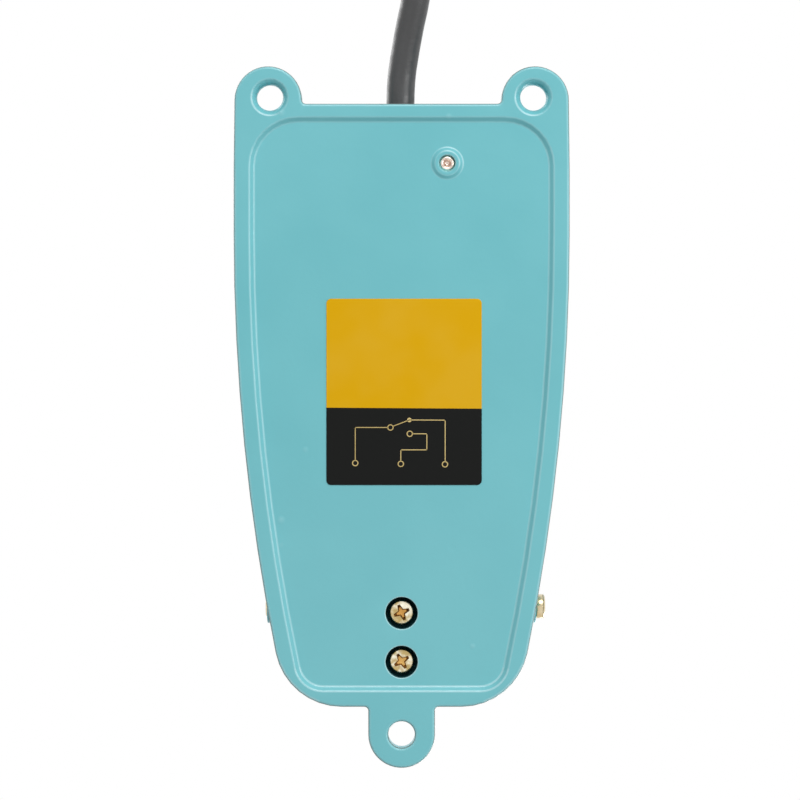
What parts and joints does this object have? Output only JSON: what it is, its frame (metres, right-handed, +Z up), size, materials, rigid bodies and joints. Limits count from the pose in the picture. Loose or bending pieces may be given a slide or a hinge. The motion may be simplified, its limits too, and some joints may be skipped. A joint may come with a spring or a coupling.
{
  "type": "industrial foot switch",
  "caption": "Cast treadle foot switch: tapered base with mounting ears and a heel tab, hinged sprung pedal, snap-action switch inside and a flexible supply cable.",
  "frame": {"origin": "centre of the base, on the surface that its rim stands on", "axes": "+Z up, +Y to the toe end where the cable leaves, +X across the pedal, along the hinge pin"},
  "size_m": [0.1165, 0.2783, 0.0482],
  "materials": {
    "teal_paint": "satin baked enamel on a casting, with small pits",
    "tread_rubber": "moulded ribbed black rubber",
    "stop_rubber": "matt black rubber",
    "label_film": "printed film, yellow over black",
    "pin_steel": "bright zinc-plated steel",
    "zinc_yellow": "yellow passivated zinc plate on steel",
    "bright_steel": "bright steel",
    "spring_steel": "drawn spring wire",
    "washer_nylon": "natural nylon",
    "phenolic": "dark moulded phenolic",
    "plunger_plastic": "red moulded plastic",
    "contact_brass": "brass strip with silver contacts",
    "blade_copper": "copper alloy spring strip",
    "terminal_tin": "tin-plated strip",
    "jacket_pvc": "black cable jacket",
    "red_pvc": "red insulation",
    "white_pvc": "white insulation",
    "black_pvc": "black insulation",
    "tie_plastic": "black strap"
  },
  "bodies": {
    "base": {"base_casting": "teal_paint", "rating_label": "label_film", "hinge_pin": "pin_steel", "pin_clip": "bright_steel", "hinge_washers": "washer_nylon", "return_spring": "spring_steel", "bump_stops": "stop_rubber", "switch_bracket": "bright_steel", "bracket_screws": "zinc_yellow", "bracket_lock_washers": "bright_steel", "bracket_nuts": "zinc_yellow", "switch_case": "phenolic", "switch_cover": "phenolic", "lever_pin": "bright_steel", "open_terminal": "contact_brass", "common_terminal": "contact_brass", "closed_terminal": "contact_brass", "switch_screws": "zinc_yellow", "switch_nuts": "zinc_yellow", "open_receptacle": "terminal_tin", "common_receptacle": "terminal_tin", "closed_receptacle": "terminal_tin", "red_lead": "red_pvc", "white_lead": "white_pvc", "black_lead": "black_pvc", "cable_grommet": "stop_rubber", "cable_clamp": "bright_steel", "clamp_screw": "bright_steel", "cable_jacket": "jacket_pvc", "supply_cable": "jacket_pvc", "cable_coil": "jacket_pvc", "coil_tie": "tie_plastic", "cable_ends": "white_pvc"},
    "pedal": {"pedal_casting": "teal_paint", "tread_pad": "tread_rubber", "striker_screw": "zinc_yellow", "striker_nut": "zinc_yellow"},
    "lever": {"switch_lever": "bright_steel"},
    "plunger": {"switch_plunger": "plunger_plastic"},
    "blade": {"contact_blade": "blade_copper"}
  },
  "joints": [
    {"name": "pedal_hinge", "type": "hinge", "parent": "base", "child": "pedal", "pos_m": [0, -0.0477, 0.017], "axis": [-1, 0, 0], "range_deg": [0, 5], "stiffness_Nm_per_rad": 12, "springref_deg": -6.88, "deforming": ["return_spring"]},
    {"name": "lever_hinge", "type": "hinge", "parent": "base", "child": "lever", "pos_m": [0, -0.026, 0.0247], "axis": [-1, 0, 0], "range_deg": [0, 9.3]},
    {"name": "plunger_slide", "type": "slide", "parent": "base", "child": "plunger", "axis": [0, 0, -1], "range_m": [0, 0.00136]},
    {"name": "blade_flex", "type": "hinge", "parent": "base", "child": "blade", "pos_m": [0, -0.0085, 0.0183], "axis": [1, 0, 0], "range_deg": [0, 4.32]}
  ],
  "couplings": [
    {"joint": "lever_hinge", "follows": "pedal_hinge", "ratio": 1.85},
    {"joint": "plunger_slide", "follows": "pedal_hinge", "m_per_rad": 0.01547},
    {"joint": "blade_flex", "follows": "pedal_hinge", "ratio": 0.86}
  ]
}
